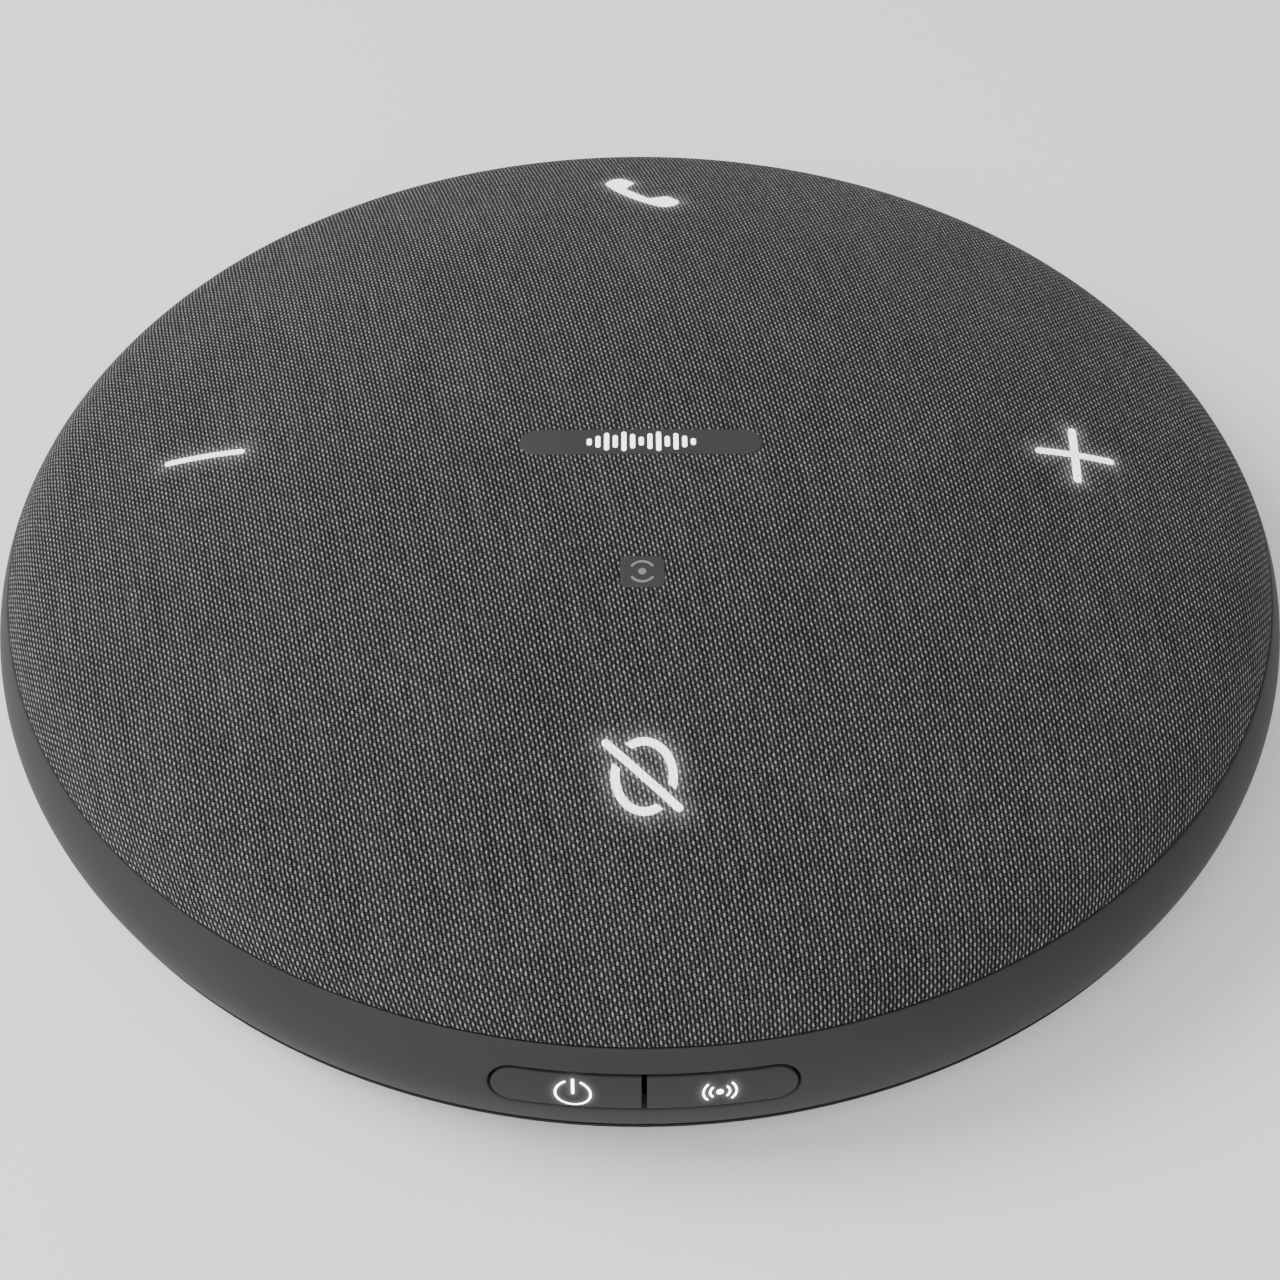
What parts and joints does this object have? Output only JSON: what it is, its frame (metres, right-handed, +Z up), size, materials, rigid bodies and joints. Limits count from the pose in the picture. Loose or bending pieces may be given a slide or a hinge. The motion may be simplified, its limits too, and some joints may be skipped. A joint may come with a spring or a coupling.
{
  "type": "conference speakerphone",
  "caption": "Round puck-shaped conference speakerphone: fabric-covered dome with lit touch signs, barrel rim with a split push-button bar, tapered base and rubber foot ring.",
  "frame": {"origin": "on the table under the centre of the round body", "axes": "+Z up, -Y the front with the two push buttons, +Y the back with the charging inlet, +X to the right when looking from the front"},
  "size_m": [0.1302, 0.1302, 0.0327],
  "materials": {
    "fabric_charcoal": "charcoal plain-weave acoustic cloth",
    "rim_grey": "fine-textured grey moulding",
    "plate_grey": "smooth satin grey",
    "lit_white": "lit translucent white",
    "black_plastic": "fine-textured black moulding",
    "black_rubber": "matte rubber",
    "black_foam": "open-cell foam",
    "board_green": "solder-masked board",
    "steel": "plated steel",
    "ferrite": "dull sintered ferrite",
    "copper": "enamelled copper winding",
    "cone_paper": "pressed paper",
    "spider_cloth": "resin-dipped cloth",
    "battery_wrap": "laminated pouch film",
    "flex_film": "polyimide film"
  },
  "bodies": {
    "housing": {"fabric_cover": "fabric_charcoal", "rim_housing": "rim_grey", "nameplate": "plate_grey", "tap_badge": "plate_grey", "volume_down_light_guide": "lit_white", "volume_up_light_guide": "lit_white", "call_light_guide": "lit_white", "mute_light_guide": "lit_white", "volume_down_lamp": "lit_white", "volume_up_lamp": "lit_white", "call_lamp": "lit_white", "mute_lamp": "lit_white", "power_lamp": "lit_white", "pairing_lamp": "lit_white", "top_grille": "black_plastic", "button_carrier": "black_plastic", "base_shell": "black_plastic", "power_switch": "black_plastic", "pairing_switch": "black_plastic", "speaker_chamber": "black_plastic", "speaker_basket": "black_plastic", "foot_ring": "black_rubber", "speaker_surround": "black_rubber", "microphone_boot_1": "black_rubber", "microphone_boot_2": "black_rubber", "microphone_boot_3": "black_rubber", "microphone_boot_4": "black_rubber", "speaker_gasket": "black_foam", "main_board": "board_green", "touch_board": "board_green", "button_board": "board_green", "speaker_yoke": "steel", "speaker_top_plate": "steel", "charging_inlet": "steel", "processor_shield": "steel", "base_screw_1": "steel", "base_screw_2": "steel", "base_screw_3": "steel", "base_screw_4": "steel", "board_screw_1": "steel", "board_screw_2": "steel", "board_screw_3": "steel", "microphone_1": "steel", "microphone_2": "steel", "microphone_3": "steel", "microphone_4": "steel", "speaker_magnet": "ferrite", "contactless_coil": "copper", "speaker_spider": "spider_cloth", "battery_pack": "battery_wrap", "touch_board_flex": "flex_film"},
    "power_button": {"power_button": "rim_grey", "power_light_guide": "lit_white", "power_switch_plunger": "black_plastic"},
    "pairing_button": {"pairing_button": "rim_grey", "pairing_light_guide": "lit_white", "pairing_switch_plunger": "black_plastic"},
    "speaker_cone": {"speaker_cone": "cone_paper", "dust_cap": "cone_paper", "voice_coil": "copper"}
  },
  "joints": [
    {"name": "power_button_press", "type": "slide", "parent": "housing", "child": "power_button", "axis": [0, 1, 0], "range_m": [0, 0.0004], "stiffness_N_per_m": 3000, "springref_m": -0.0001},
    {"name": "pairing_button_press", "type": "slide", "parent": "housing", "child": "pairing_button", "axis": [0, 1, 0], "range_m": [0, 0.0004], "stiffness_N_per_m": 3000, "springref_m": -0.0001},
    {"name": "speaker_cone_stroke", "type": "slide", "parent": "housing", "child": "speaker_cone", "axis": [0, 0, 1], "range_m": [-0.0012, 0.0012], "stiffness_N_per_m": 1200}
  ]
}
